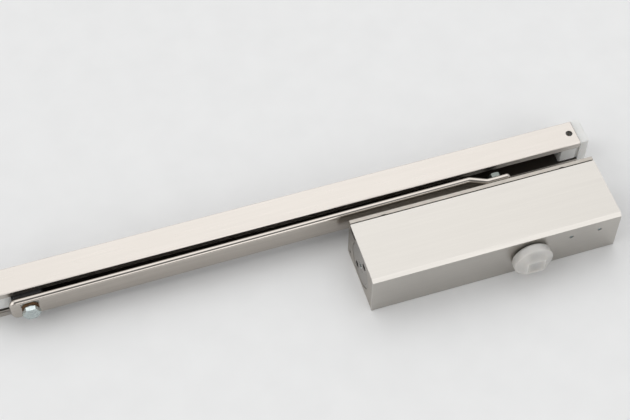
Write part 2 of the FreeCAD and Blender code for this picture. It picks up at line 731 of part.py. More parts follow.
def make_slide_arm():
    """Rolled bar with round edges, cranked near the spindle, that drops a little to the rail."""
    body = new_body("slide_arm")
    edge = "((arm_thickness - arm_flat) / 2)"
    bend = "(arm_thickness / 2 * tan(atan(arm_joggle / joggle_run) / 2))"
    near = "(-joggle_start)"
    far = "(-joggle_start - joggle_run)"
    tip = "(-arm_length - arm_end)"
    seat_back = f"({ARM_SEAT} + arm_thickness)"
    pad_outline(body, "XY_Plane", [
        ("arm_heel", ARM_SEAT),
        ("arm_heel", seat_back),
        (f"{near} + {bend}", seat_back),
        (f"{far} + {bend}", ARM_BACK),
        (tip, ARM_BACK),
        (tip, ARM_MAIN),
        (f"{far} - {bend}", ARM_MAIN),
        (f"{near} - {bend}", ARM_SEAT),
    ], "arm_width")
    joint = -SIZES["joggle_start"] - SIZES["joggle_run"] / 2
    reach = SIZES["joggle_run"] / 2 + SIZES["arm_thickness"] / 2
    round_edges(body, "bends", "arm_bend_radius",
                lambda at, way: abs(way.z) > 0.9 and abs(at.x - joint) < reach)
    end = -SIZES["arm_length"] - SIZES["arm_end"]
    round_edges(body, "tip", "arm_corner", lambda at, way: abs(way.y) > 0.9 and abs(at.x - end) < 0.1)
    heel = SIZES["arm_heel"]
    round_edges(body, "heel", f"{edge} + arm_flat", lambda at, way: abs(way.y) > 0.9 and abs(at.x - heel) < 0.1)
    round_edges(body, "long_edges", edge,
                lambda at, way: abs(way.y) < 0.7 and (abs(way.z) < 0.9 or abs(at.x - joint) > reach))
    hole = "(drive_square + drive_gap)"
    corners = [f"(45 deg + {i} * 90 deg - {ARM_TILT})" for i in range(4)]
    square = [(f"{hole} / sqrt(2) * cos({turn})", f"{hole} / sqrt(2) * sin({turn})") for turn in corners]
    pocket_outline(body, "XZ_Plane", square, f"4 * {ARM_BACK}", "square_hole")
    drill(body, "bush_hole", ALONG_Y, ("-arm_length", f"{ARM_MAIN} - arm_thickness", "0"), "bush_radius + seat_gap",
          "3 * arm_thickness")
    body.Placement.Rotation = FreeCAD.Rotation(V(0, 1, 0), -1)
    bind(body, "Placement.Rotation.Angle", f"-{ARM_TILT}")
    bind(body, "Placement.Base.x", SPINDLE_X)
    bind(body, "Placement.Base.z", "spindle_height")
    doc.recompute()


def make_arm_screw():
    """Hex screw and washer that hold the arm on the spindle's square."""
    back = f"({ARM_SEAT} + arm_thickness)"
    head = f"({back} + washer_thickness)"
    washer = ring("arm_washer", "Y", back, head, "arm_screw_radius + washer_gap", "arm_washer_radius")
    put(washer, SPINDLE_X, "0", "spindle_height")
    screw = ring("arm_screw", "Y", f"{head} - arm_screw_length", f"{head} + arm_screw_head / 2", "0",
                 "arm_screw_radius")
    add_hex(screw, "AdditivePrism", "head", ALONG_Y, ("0", head, "0"), "arm_screw_flats", "arm_screw_head")
    put(screw, SPINDLE_X, "0", "spindle_height")


def make_pivot():
    """Bush in the arm, with the bolt, washers and nut that carry the slide block."""
    bore = "pivot_radius + running_gap"
    pieces = [
        ring("pivot_bush", "Y", f"{ARM_MAIN} - bush_front", f"{ARM_BACK} + bush_back", bore, "bush_radius"),
        ring("pivot_washer", "Y", BOLT_SEAT, f"{ARM_MAIN} - bush_front - seat_gap", bore, "pivot_collar_radius"),
        ring("slide_washer", "Y", f"{ARM_BACK} + bush_back + seat_gap", f"{RAIL_FACE} - block_proud", bore,
             "pivot_washer_radius"),
    ]
    bolt = ring("pivot_bolt", "Y", f"{BOLT_SEAT} - pivot_head / 2", f"{NUT_START} + nut_length", "0", "pivot_radius")
    add_hex(bolt, "AdditivePrism", "head", ALONG_MINUS_Y, ("0", BOLT_SEAT, "0"), "pivot_flats", "pivot_head")
    nut = new_body("pivot_nut")
    add_hex(nut, "AdditivePrism", "body", ALONG_Y, ("0", NUT_START, "0"), "nut_flats", "nut_length")
    drill(nut, "thread", ALONG_Y, ("0", f"{NUT_START} - nut_length", "0"), bore, "3 * nut_length")
    for piece in (*pieces, bolt, nut):
        put(piece, PIVOT_X, "0", "slot_height")


def make_slide_block():
    """Block that fills the rail's channel, with a neck that stands out of its slot."""
    body = new_body("slide_block")
    inside = f"({RAIL_FACE} + rail_wall + block_gap)"
    low = "(channel_floor + block_gap - slot_height)"
    high = f"({CHANNEL_TOP} - block_gap - slot_height)"
    half_neck = "(slot_width / 2 - block_gap)"
    back = f"({inside} + block_depth)"
    front = f"({RAIL_FACE} - block_proud)"
    pad_outline(body, "YZ_Plane", [
        (front, f"-{half_neck}"),
        (inside, f"-{half_neck}"),
        (inside, low),
        (back, low),
        (back, high),
        (inside, high),
        (inside, half_neck),
        (front, half_neck),
    ], "block_length")
    half = SIZES["block_length"] / 2
    slot = SIZES["slot_width"] / 2
    round_edges(body, "corners", "block_corner",
                lambda at, way: abs(way.y) > 0.9 and abs(abs(at.x) - half) < 0.1 and abs(at.z) < slot)
    drill(body, "bolt_hole", ALONG_Y, ("0", f"{front} - block_depth", "0"), "pivot_radius + running_gap",
          "4 * block_depth")
    add_hex(body, "SubtractivePrism", "nut_pocket", ALONG_Y, ("0", f"{NUT_START} - nut_gap / 2", "0"),
            "(nut_flats + nut_gap)", "2 * nut_length")
    put(body, PIVOT_X, "0", "slot_height")


def make_guide_rail():
    """C-section rail: slot towards the arm, groove below it and a recessed back."""
    body = new_body("guide_rail")
    back = "rail_width"
    low = "(channel_floor + slot_sill)"
    high = "(slot_height + slot_width / 2)"
    groove_top = "(rail_groove_height + rail_groove)"
    pad_outline(body, "YZ_Plane", [
        ("0", "0"),
        ("rail_foot", "0"),
        ("rail_foot", "rail_back_recess"),
        (f"{back} - rail_foot", "rail_back_recess"),
        (f"{back} - rail_foot", "0"),
        (back, "0"),
        (back, "rail_depth - rail_edge"),
        (f"{back} - rail_edge", "rail_depth"),
        ("rail_edge", "rail_depth"),
        ("0", "rail_depth - rail_edge"),
        ("0", high),
        ("rail_wall", high),
        ("rail_wall", CHANNEL_TOP),
        (f"{back} - rail_wall", CHANNEL_TOP),
        (f"{back} - rail_wall", "channel_floor"),
        ("rail_wall", "channel_floor"),
        ("rail_wall", low),
        ("0", low),
        ("0", groove_top),
        ("rail_groove_depth", groove_top),
        ("rail_groove_depth", "rail_groove_height"),
        ("0", "rail_groove_height"),
    ], "rail_length")
    for name, side in (("left", -1), ("right", 1)):
        drill(body, f"{name}_hole", ALONG_Z, (f"{side} * (rail_length / 2 - rail_hole_inset)", "rail_width / 2",
              "-rail_depth"), "rail_hole_radius", "3 * rail_depth")
    put(body, f"{RAIL_LEFT} + rail_length / 2", RAIL_FACE, "0")


def make_rail_cap(label, side):
    """Plastic end cap: flange over the rail's end, core in its channel and a tongue in its slot."""
    body = new_body(label)
    outline = [("0", "0"), ("rail_width", "0"), ("rail_width", "rail_depth"), ("0", "rail_depth")]
    pad_outline(body, "YZ_Plane", outline, "2 * cap_flange", "flange")
    trim = "-cap_seam" if side < 0 else "-2 * cap_flange"
    add_shape(body, "SubtractiveBox", "trim", ALONG_Z, (trim, "-rail_width", "-rail_depth"),
              Length="2 * cap_flange + cap_seam", Width="3 * rail_width", Height="3 * rail_depth")
    tip = side * SIZES["cap_flange"]
    round_edges(body, "rim", "cap_flange_corner",
                lambda at, way: abs(way.x) < 0.1 and abs(at.x - tip) < 0.1 and at.z > 0.1)
    core = "-insert_length" if side > 0 else "-2 * cap_seam"
    inside = "(rail_width - 2 * rail_wall - 2 * insert_gap)"
    add_shape(body, "AdditiveBox", "core", ALONG_Z, (core, "rail_wall + insert_gap", "channel_floor + insert_gap"),
              Length="insert_length + 2 * cap_seam", Width=inside,
              Height=f"{CHANNEL_TOP} - channel_floor - 2 * insert_gap")
    tongue = "-insert_length" if side > 0 else "tongue_start"
    add_shape(body, "AdditiveBox", "tongue", ALONG_Z,
              (tongue, "tongue_recess", "slot_height - slot_width / 2 + insert_gap"),
              Length="insert_length - tongue_start", Width="2 * rail_wall", Height="slot_width - 2 * insert_gap")
    drill(body, "screw_hole", ALONG_Z, (f"{-side} * rail_hole_inset", "rail_width / 2", "-rail_depth"),
          "rail_hole_radius + insert_hole_gap", "3 * rail_depth")
    place = f"{RAIL_LEFT} + rail_length" if side > 0 else RAIL_LEFT
    put(body, place, RAIL_FACE, "0")


def check_model():
    """Stops the build if an object failed, a shape is unsound or a cut removed nothing."""
    for thing in doc.Objects:
        if {"Invalid", "Error"} & set(thing.State):
            raise RuntimeError(f"{thing.Label} failed: {thing.State}")
        base = getattr(thing, "BaseFeature", None)
        cuts = "Subtractive" in thing.TypeId or thing.TypeId in ("PartDesign::Pocket", "PartDesign::Groove")
        if cuts and base and thing.Shape.Volume > base.Shape.Volume - 1e-3:
            raise RuntimeError(f"{thing.Label} cut nothing")
    for node in nodes:
        if node.Shape.isNull() or not node.Shape.isValid() or not node.Shape.Solids:
            raise RuntimeError(f"{node.Label} is not a sound solid")


def write_parts():
    os.makedirs("parts", exist_ok=True)
    for node in nodes:
        node.Shape.exportStep(f"parts/{node.Label}.step")


make_housing()
make_front_cover()
make_plugs()
make_power_screw()
make_spring()
make_spindle()
make_spindle_bearings()
make_piston()
make_valves()
make_spindle_cap()
make_slide_arm()
make_arm_screw()
make_pivot()
make_slide_block()
make_guide_rail()
make_rail_cap("rail_cap_left", -1)
make_rail_cap("rail_cap_right", 1)
doc.recompute()
check_model()
write_parts()
for node in nodes:
    box = node.Shape.BoundBox
    print(f"{node.Label}: {len(node.Shape.Solids)} solid(s), {node.Shape.Volume:.0f} mm3,"
          f" X {box.XMin:.2f} to {box.XMax:.2f}, Y {box.YMin:.2f} to {box.YMax:.2f},"
          f" Z {box.ZMin:.2f} to {box.ZMax:.2f}")
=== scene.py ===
# %% [markdown]
# # An overhead door closer with a slide rail
# The closer lies on its back on a pale table, with its arm and rail behind it.
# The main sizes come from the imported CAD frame, so this script adds what a machinist's drawing leaves out:
# the finishes, the moulded, forged and coiled shapes of four pieces, the light and the camera.
# Lengths are in metres. +X runs along the closer, +Y from the spindle cap to the rail, and +Z points up.

# %% Load the frame
import math

import bmesh
import bpy
from mathutils import Matrix, Vector


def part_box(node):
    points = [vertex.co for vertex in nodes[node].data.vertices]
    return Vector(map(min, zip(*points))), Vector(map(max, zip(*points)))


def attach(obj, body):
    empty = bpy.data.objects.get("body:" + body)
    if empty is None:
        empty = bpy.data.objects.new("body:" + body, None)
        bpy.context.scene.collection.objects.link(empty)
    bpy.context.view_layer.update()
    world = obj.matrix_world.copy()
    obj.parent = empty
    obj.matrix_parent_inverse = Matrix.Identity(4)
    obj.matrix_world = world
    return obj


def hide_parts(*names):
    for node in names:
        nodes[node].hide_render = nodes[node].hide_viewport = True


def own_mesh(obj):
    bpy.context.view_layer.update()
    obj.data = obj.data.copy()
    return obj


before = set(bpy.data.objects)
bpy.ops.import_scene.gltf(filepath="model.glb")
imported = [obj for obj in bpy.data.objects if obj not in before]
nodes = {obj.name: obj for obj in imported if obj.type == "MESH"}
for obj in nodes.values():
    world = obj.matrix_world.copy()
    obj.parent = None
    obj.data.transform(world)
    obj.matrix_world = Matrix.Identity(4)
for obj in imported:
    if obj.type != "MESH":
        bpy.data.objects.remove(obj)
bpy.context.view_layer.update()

# %% [markdown]
# ## A start for every finish
# A finish is one Principled shader with a few textures in front of it.
# Every texture reads Object coordinates, which are the part's own metres, so grain has its real size
# and stays on the metal when the arm swings. UV maps would need unwrapping for no gain here.
# These helpers keep each finish to a few readable lines.

# %% Helpers for node trees
def vector_math(tree, operation, vector, other=None):
    """One step of vector arithmetic, with a constant vector where the step needs a second one."""
    step = tree.nodes.new("ShaderNodeVectorMath")
    step.operation = operation
    tree.links.new(vector, step.inputs[0])
    if other is not None:
        step.inputs[1].default_value = other
    return step.outputs["Value" if operation in ("LENGTH", "DOT_PRODUCT") else "Vector"]


def number_math(tree, operation, first, second):
    """One step of arithmetic with two values; each is a socket or a constant."""
    step = tree.nodes.new("ShaderNodeMath")
    step.operation = operation
    for socket, value in zip(step.inputs, (first, second)):
        if isinstance(value, float):
            socket.default_value = value
        else:
            tree.links.new(value, socket)
    return step.outputs[0]


def object_metres(tree):
    """Object coordinates, which are metres in the part's own frame."""
    return tree.nodes.new("ShaderNodeTexCoord").outputs["Object"]


def object_place(tree, stretch):
    """Object coordinates in metres, multiplied by a stretch for each axis."""
    return vector_math(tree, "MULTIPLY", object_metres(tree), stretch)


def noise(tree, vector, detail, distortion=0.0):
    """Soft noise between 0 and 1 along the given coordinates."""
    texture = tree.nodes.new("ShaderNodeTexNoise")
    texture.inputs["Scale"].default_value = 1.0
    texture.inputs["Detail"].default_value = detail
    texture.inputs["Distortion"].default_value = distortion
    tree.links.new(vector, texture.inputs["Vector"])
    return texture.outputs["Fac"]


# %% Helpers for finishes
noise_low, noise_high = 0.3, 0.7


def new_finish(name, roughness, metallic=0.0):
    """Makes an empty finish and returns its material, its node tree and its shader."""
    material = bpy.data.materials.new(name)
    material.use_nodes = True
    tree = material.node_tree
    shader = tree.nodes["Principled BSDF"]
    shader.inputs["Roughness"].default_value = roughness
    shader.inputs["Metallic"].default_value = metallic
    return material, tree, shader


def colour_between(tree, shader, factor, dark, light, low=noise_low, high=noise_high):
    """Colours the shader from dark to light as the factor goes from low to high."""
    ramp = tree.nodes.new("ShaderNodeValToRGB")
    ramp.color_ramp.elements[0].position = low
    ramp.color_ramp.elements[0].color = (*dark, 1.0)
    ramp.color_ramp.elements[1].position = high
    ramp.color_ramp.elements[1].color = (*light, 1.0)
    tree.links.new(factor, ramp.inputs["Fac"])
    tree.links.new(ramp.outputs["Color"], shader.inputs["Base Color"])


def roughness_between(tree, shader, factor, smooth, rough):
    """Lets the roughness wander between two values."""
    spread = tree.nodes.new("ShaderNodeMapRange")
    spread.inputs["From Min"].default_value = noise_low
    spread.inputs["From Max"].default_value = noise_high
    spread.inputs["To Min"].default_value = smooth
    spread.inputs["To Max"].default_value = rough
    tree.links.new(factor, spread.inputs["Value"])
    tree.links.new(spread.outputs["Result"], shader.inputs["Roughness"])


def relief(tree, shader, height, depth, strength):
    """Bumps the surface by a height texture; depth is in metres."""
    bump = tree.nodes.new("ShaderNodeBump")
    bump.inputs["Strength"].default_value = strength
    bump.inputs["Distance"].default_value = depth
    tree.links.new(height, bump.inputs["Height"])
    tree.links.new(bump.outputs["Normal"], shader.inputs["Normal"])


def dress(material, *names):
    """Gives the finish to CAD nodes, without touching their meshes."""
    for name in names:
        for slot in nodes[name].material_slots:
            slot.material = material
    print(material.name, "on", ", ".join(names))


# %% [markdown]
# ## Satin nickel
# The cover, the rail and the arm are plated and brushed along their length, so their gloss breaks into
# long faint streaks. A photograph of brushed metal would do it too, but stretched noise has no seams:
# it is squeezed hard across the streaks and hardly along them.
# A second noise, with longer streaks, varies the colour a little.

# %% Brushed nickel
def brushed_nickel(name, dark, light, smooth, rough):
    material, tree, shader = new_finish(name, smooth, metallic=1.0)
    long_streaks = noise(tree, object_place(tree, (9.0, 700.0, 700.0)), detail=5.0, distortion=0.3)
    colour_between(tree, shader, long_streaks, dark, light)
    streaks = noise(tree, object_place(tree, (25.0, 1400.0, 1400.0)), detail=2.0)
    roughness_between(tree, shader, streaks, smooth, rough)
    relief(tree, shader, streaks, depth=0.00001, strength=0.1)
    return material


nickel_rail = brushed_nickel("nickel_rail", dark=(0.538, 0.505, 0.468), light=(0.557, 0.522, 0.485),
                             smooth=0.27, rough=0.32)
nickel_cover = brushed_nickel("nickel_cover", dark=(0.512, 0.491, 0.459), light=(0.531, 0.509, 0.476),
                              smooth=0.28, rough=0.33)
nickel_arm = brushed_nickel("nickel_arm", dark=(0.50, 0.46, 0.42), light=(0.55, 0.51, 0.465),
                            smooth=0.13, rough=0.18)
dress(nickel_cover, "front_cover")
dress(nickel_rail, "guide_rail")
dress(nickel_arm, "slide_arm")

# %% [markdown]
# ## Painted shade inside the rail
# The rail's deep channel gets little light, so its inside is painted dark as painted shade. It is one node
# with the bright outside and has one material, so a box in Object coordinates tells the inside from the
# outside.
# The box only looks across the rail, in Y and Z. It takes in the channel's own faces by a hair and stops
# a hair behind the rail's front. Inside it the colour is the painted shade's dull dark brown and nothing is
# metal.

# %% Painted shade in the channel
def inside_box(tree, low, high):
    """1 for all that lies between two corners in Y and Z, and 0 for the rest."""
    shifted = vector_math(tree, "SUBTRACT", object_metres(tree), (low + high) / 2)
    share = vector_math(tree, "DIVIDE", shifted, (high - low) / 2)
    parts = tree.nodes.new("ShaderNodeSeparateXYZ")
    tree.links.new(vector_math(tree, "ABSOLUTE", share), parts.inputs[0])
    largest = number_math(tree, "MAXIMUM", parts.outputs["Y"], parts.outputs["Z"])
    return number_math(tree, "LESS_THAN", largest, 1.0)


def painted_shade_inside(material, low, high, painted_shade):
    """Paints shade over all that lies between two corners, across the rail: a dull dark colour that is not
    metal.
    """
    tree = material.node_tree
    shader = tree.nodes["Principled BSDF"]
    inside = inside_box(tree, low, high)
    mixed = tree.nodes.new("ShaderNodeMix")
    mixed.data_type = "RGBA"
    plain_colour, painted_shade_colour, mixed_colour = mixed.inputs[6], mixed.inputs[7], mixed.outputs[2]
    tree.links.new(inside, mixed.inputs["Factor"])
    tree.links.new(shader.inputs["Base Color"].links[0].from_socket, plain_colour)
    painted_shade_colour.default_value = (*painted_shade, 1.0)
    tree.links.new(mixed_colour, shader.inputs["Base Color"])
    tree.links.new(number_math(tree, "SUBTRACT", 1.0, inside), shader.inputs["Metallic"])


rail_low, rail_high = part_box("guide_rail")
hair = 0.0001
rail_wall = 0.002
channel_floor = 0.0065
channel_low = Vector((rail_low.x, rail_low.y + hair, channel_floor - hair))
channel_high = rail_high - Vector((0.0, rail_wall - hair, rail_wall - hair))
# The channel's inside gets painted shade, a dull dark brown in place of the nickel.
painted_shade_inside(nickel_rail, channel_low, channel_high, painted_shade=(0.050, 0.043, 0.036))
print("grease from", channel_low, "to", channel_high)

# %% [markdown]
# ## Coated casting
# The body under the cover is cast aluminium with the same nickel colour sprayed on.
# It has no brush lines, only a fine even grain, so its noise has the same size in all directions.

# %% Coated casting
def coated_casting(name, dark, light):
    material, tree, shader = new_finish(name, 0.36, metallic=1.0)
    mottle = noise(tree, object_place(tree, (160.0, 160.0, 160.0)), detail=4.0)
    colour_between(tree, shader, mottle, dark, light)
    grain = noise(tree, object_place(tree, (2600.0, 2600.0, 2600.0)), detail=2.0)
    roughness_between(tree, shader, grain, smooth=0.32, rough=0.42)
    relief(tree, shader, grain, depth=0.00002, strength=0.3)
    return material


body_coat = coated_casting("coated_casting", dark=(0.375, 0.348, 0.312), light=(0.44, 0.41, 0.37))
dress(body_coat, "housing")

# %% [markdown]
# ## Turned steel
# The end plugs are faced on a lathe, which leaves fine rings about their own axis.
# The rings need the distance from that axis: two coordinates are shifted to it and their length is taken.
# A noise that reads only this distance repeats all the way round, as a tool mark does.

# %% Turned steel
def distance_from_axis(tree, along, centre):
    """Distance in metres from an axis through centre that runs along X or Y."""
    across = (0.0, 1.0, 1.0) if along == "X" else (1.0, 0.0, 1.0)
    shifted = vector_math(tree, "SUBTRACT", object_metres(tree), centre)
    return vector_math(tree, "LENGTH", vector_math(tree, "MULTIPLY", shifted, across))


def turned_steel(name, along, centre, dark, light):
    material, tree, shader = new_finish(name, 0.3, metallic=1.0)
    spread = tree.nodes.new("ShaderNodeCombineXYZ")
    tree.links.new(distance_from_axis(tree, along, centre), spread.inputs["X"])
    fine = vector_math(tree, "MULTIPLY", spread.outputs[0], (2200.0, 2200.0, 2200.0))
    rings = noise(tree, fine, detail=2.0)
    colour_between(tree, shader, rings, dark, light)
    roughness_between(tree, shader, rings, smooth=0.24, rough=0.40)
    relief(tree, shader, rings, depth=0.00003, strength=0.35)
    return material


def middle(name):
    low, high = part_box(name)
    return (low + high) / 2


# %% Plugs, spindle and piston
plug_axis = middle("left_plug")
spindle_axis = middle("spindle_bearings")
turned_plug = turned_steel("turned_plug", "X", plug_axis,
                           dark=(0.275, 0.26, 0.24), light=(0.38, 0.36, 0.335))
machined_steel = turned_steel("machined_steel", "Y", spindle_axis,
                              dark=(0.34, 0.34, 0.34), light=(0.46, 0.46, 0.46))
machined_piston = turned_steel("machined_piston", "X", plug_axis,
                               dark=(0.34, 0.34, 0.345), light=(0.46, 0.46, 0.465))
dress(turned_plug, "left_plug", "right_plug")
dress(machined_steel, "spindle", "spindle_bearings")
dress(machined_piston, "piston", "spring_seat", "ball_retainer", "check_ball")

# %% [markdown]
# ## Zinc plate
# The bolts, washers, glands and small screws are zinc-plated steel, which looks cold and a little blue
# beside the warm nickel. Zinc grows in small crystals, so a cell texture tints each one slightly.
# The same recipe with darker colours gives the dull washers and the arm's screw, which is simply made darker
# still.

# %% Zinc plate
def zinc_plate(name, dark, light):
    material, tree, shader = new_finish(name, 0.26, metallic=1.0)
    crystals = tree.nodes.new("ShaderNodeTexVoronoi")
    crystals.inputs["Scale"].default_value = 1.0
    tree.links.new(object_place(tree, (1500.0, 1500.0, 1500.0)), crystals.inputs["Vector"])
    grey = tree.nodes.new("ShaderNodeSeparateColor")
    tree.links.new(crystals.outputs["Color"], grey.inputs["Color"])
    colour_between(tree, shader, grey.outputs["Red"], dark, light, low=0.0, high=1.0)
    scuffs = noise(tree, object_place(tree, (700.0, 700.0, 700.0)), detail=4.0)
    roughness_between(tree, shader, scuffs, smooth=0.20, rough=0.36)
    relief(tree, shader, scuffs, depth=0.00003, strength=0.2)
    return material


bright_zinc = zinc_plate("bright_zinc", dark=(0.47, 0.53, 0.535), light=(0.58, 0.64, 0.635))
dull_zinc = zinc_plate("dull_zinc", dark=(0.27, 0.30, 0.29), light=(0.37, 0.40, 0.385))
darker_zinc = zinc_plate("darker_zinc", dark=(0.15, 0.165, 0.155), light=(0.21, 0.23, 0.215))
dress(bright_zinc, "pivot_washer", "pivot_nut", "power_screw", "closing_valve", "latching_valve")
dress(dull_zinc, "slide_washer", "arm_washer", "upper_gland", "lower_gland")

# %% [markdown]
# ## Bronze, spring wire and rubber
# The bush in the arm is sintered bronze: brown, dull and full of tiny pores.
# The spring wire is dark from its oil bath, and the seals are black rubber.
# These three differ only in colour, grain and gloss, so one helper makes them all.

# %% Grainy finishes
def grainy(name, dark, light, grain_per_metre, smooth, rough, depth, metallic=0.0):
    material, tree, shader = new_finish(name, smooth, metallic)
    grain = noise(tree, object_place(tree, (grain_per_metre,) * 3), detail=5.0)
    colour_between(tree, shader, grain, dark, light)
    roughness_between(tree, shader, grain, smooth, rough)
    relief(tree, shader, grain, depth, strength=0.4)
    return material


sintered_bronze = grainy("sintered_bronze", dark=(0.10, 0.060, 0.035), light=(0.30, 0.19, 0.11),
                         grain_per_metre=1800.0, smooth=0.40, rough=0.60, depth=0.00005, metallic=1.0)
spring_wire = grainy("spring_wire", dark=(0.09, 0.09, 0.10), light=(0.17, 0.17, 0.18),
                     grain_per_metre=900.0, smooth=0.34, rough=0.48, depth=0.00003, metallic=1.0)
seal_rubber = grainy("seal_rubber", dark=(0.008, 0.008, 0.008), light=(0.022, 0.022, 0.022),
                     grain_per_metre=1500.0, smooth=0.55, rough=0.75, depth=0.00003)
dress(sintered_bronze, "pivot_bush")
dress(seal_rubber, "plug_seals", "spindle_seals", "valve_seals")

# %% [markdown]
# ## Moulded plastics
# The slide block is black plastic from a spark-eroded mould, so it has a fine even grain.
# The spindle cap and the rail's end caps are milky: light enters, scatters and comes out softer.
# Subsurface scattering gives that, and a little transmission lets the dark inside show through thin walls.

# %% Moulded plastics
def milky_plastic(name, dark, light, scatter, clear):
    material, tree, shader = new_finish(name, 0.38)
    clouds = noise(tree, object_place(tree, (90.0, 90.0, 90.0)), detail=3.0)
    colour_between(tree, shader, clouds, dark, light)
    grain = noise(tree, object_place(tree, (1900.0, 1900.0, 1900.0)), detail=3.0)
    roughness_between(tree, shader, grain, smooth=0.32, rough=0.46)
    relief(tree, shader, grain, depth=0.00003, strength=0.25)
    shader.inputs["Subsurface Weight"].default_value = scatter
    shader.inputs["Subsurface Radius"].default_value = (1.0, 0.95, 0.9)
    shader.inputs["Subsurface Scale"].default_value = 0.008
    shader.inputs["Transmission Weight"].default_value = clear
    shader.inputs["IOR"].default_value = 1.49
    return material


block_plastic = grainy("block_plastic", dark=(0.010, 0.010, 0.011), light=(0.024, 0.024, 0.026),
                       grain_per_metre=2200.0, smooth=0.38, rough=0.55, depth=0.00003)
cap_plastic = milky_plastic("milky_cap", dark=(0.67, 0.635, 0.59), light=(0.73, 0.695, 0.65),
                            scatter=1.0, clear=0.16)
rail_cap_plastic = milky_plastic("milky_rail_cap", dark=(0.76, 0.76, 0.74), light=(0.82, 0.82, 0.80),
                                 scatter=0.5, clear=0.10)
dress(block_plastic, "slide_block")
dress(rail_cap_plastic, "rail_cap_left", "rail_cap_right")

# %% [markdown]
# ## Shapes from rings
# The bolts, the cap and the spring are all rows of rings with faces between them.
# A ring is given by its radius and its height at each angle, so it can be a circle, a hexagon or a thread.
# Modifiers could turn a profile too, but then every ring would have to be round.

# %% Ring helpers
ring_count = 96


def even(value):
    """The same value at every angle."""
    return lambda turn: value


def ring_points(radius_at, height_at):
    """A ring about Z, with a radius and height for each angle."""
    turns = [2 * math.pi * index / ring_count for index in range(ring_count)]
    return [Vector((radius_at(turn) * math.cos(turn), radius_at(turn) * math.sin(turn), height_at(turn)))
            for turn in turns]


def join_rings(name, rings):
    """Joins rings of equal count into one closed mesh with capped ends."""
    mesh = bpy.data.meshes.new(name)
    made = bmesh.new()
    rows = [[made.verts.new(point) for point in ring] for ring in rings]
    count = len(rows[0])
    for lower, upper in zip(rows, rows[1:]):
        for index in range(count):
            after = (index + 1) % count
            made.faces.new((lower[index], lower[after], upper[after], upper[index]))
    made.faces.new(list(reversed(rows[0])))
    made.faces.new(rows[-1])
    bmesh.ops.recalc_face_normals(made, faces=made.faces)
    made.to_mesh(mesh)
    made.free()
    piece = bpy.data.objects.new(name, mesh)
    bpy.context.scene.collection.objects.link(piece)
    return piece


def smooth_by_angle(piece, degrees):
    """Shades gentle bends smooth and keeps real edges sharp."""
    for polygon in piece.data.polygons:
        polygon.use_smooth = True
    piece.data.set_sharp_from_angle(angle=math.radians(degrees))


# %% [markdown]
# ## Hex bolts
# The CAD bolts are plain prisms on plain shanks. A real forged head is chamfered by a cone, which leaves the
# curved bite on each flat, and the shank has a rolled thread.
# Both are heights over a ring of points: the cone lowers the rim where the hexagon reaches further out,
# and the thread is a zigzag that climbs one pitch in each turn. So one grid of rings makes the whole bolt.

# %% Thread builder
def thread_rings(radius, end, length, pitch):
    """The rings of a rolled thread that fades in over its first rings and out over its last."""
    depth = pitch * 0.55
    rings_per_turn = 8
    fade_rings = 6
    least_fade = 0.25
    steps = int(length / pitch * rings_per_turn)
    rings = []
    for step in range(1, steps):
        level = end - length + length * step / steps
        fade = min(1.0, step / fade_rings, (steps - step) / fade_rings + least_fade)

        def thread(turn, level=level, fade=fade):
            phase = (level / pitch - turn / (2 * math.pi)) % 1.0
            return radius - depth * fade * (1.0 - abs(2 * phase - 1.0))

        rings.append(ring_points(thread, even(level)))
    rings.append(ring_points(even(radius - depth), even(end)))
    return rings


# %% Bolt builder
def hex_bolt(name, flats, head, shank_radius, shank_length, thread_length, pitch):
    """A bolt whose head sits below Z = 0 and whose shank points up from it."""
    sixth = math.pi / 3
    face = flats * 0.47
    cone = math.tan(math.radians(30))
    dish_radius, dish_edge, dish_depth = face * 0.55, face * 0.72, head * 0.05
    collar = head * 0.06
    smooth_below = 24

    def hexagon(turn):
        return flats / 2 / math.cos((turn + sixth / 2) % sixth - sixth / 2)

    def bitten(turn):
        return -head + max(0.0, hexagon(turn) - face) * cone

    rings = [
        ring_points(even(dish_radius), even(-head + dish_depth)),
        ring_points(even(dish_edge), even(-head)),
        ring_points(even(face), even(-head)),
        ring_points(hexagon, bitten),
        ring_points(hexagon, even(-collar)),
        ring_points(even(face), even(-collar)),
        ring_points(even(face), even(0.0)),
        ring_points(even(shank_radius), even(0.0)),
        ring_points(even(shank_radius), even(shank_length - thread_length)),
    ]
    rings += thread_rings(shank_radius, shank_length, thread_length, pitch)
    piece = join_rings(name, rings)
    smooth_by_angle(piece, smooth_below)
    return piece


# %% [markdown]
# ## The pivot bolt and the arm's screw
# The pivot bolt's head faces the viewer at the free end of the arm; the arm's screw clamps it to the spindle.
# Each takes its size from its CAD node: a hexagon with flats up and down is as tall as its flats.
# The pivot bolt's head is drawn a little smaller than its node, because it measures so in the photograph.

# %% Bolts in place
def hex_size(name):
    low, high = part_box(name)
    return high.z - low.z, (low + high) / 2


towards_rail = Matrix.Rotation(-math.pi / 2, 4, "X")
towards_body = Matrix.Rotation(math.pi / 2, 4, "X")
flat_up = Matrix.Rotation(math.pi / 6, 4, "Z")

bolt_flats, bolt_centre = hex_size("pivot_bolt")
bolt_low, bolt_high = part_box("pivot_bolt")
bolt_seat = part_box("pivot_washer")[0].y
head_share = 0.94
pivot_bolt = hex_bolt("pivot_bolt_forged", flats=bolt_flats * head_share, head=bolt_seat - bolt_low.y,
                      shank_radius=0.004, shank_length=bolt_high.y - bolt_seat,
                      thread_length=0.008, pitch=0.00125)
bolt_place = Matrix.Translation((bolt_centre.x, bolt_seat, bolt_centre.z))
pivot_bolt.matrix_world = bolt_place @ towards_rail @ flat_up
pivot_bolt.data.materials.append(bright_zinc)
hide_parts("pivot_bolt")
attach(pivot_bolt, "slider")

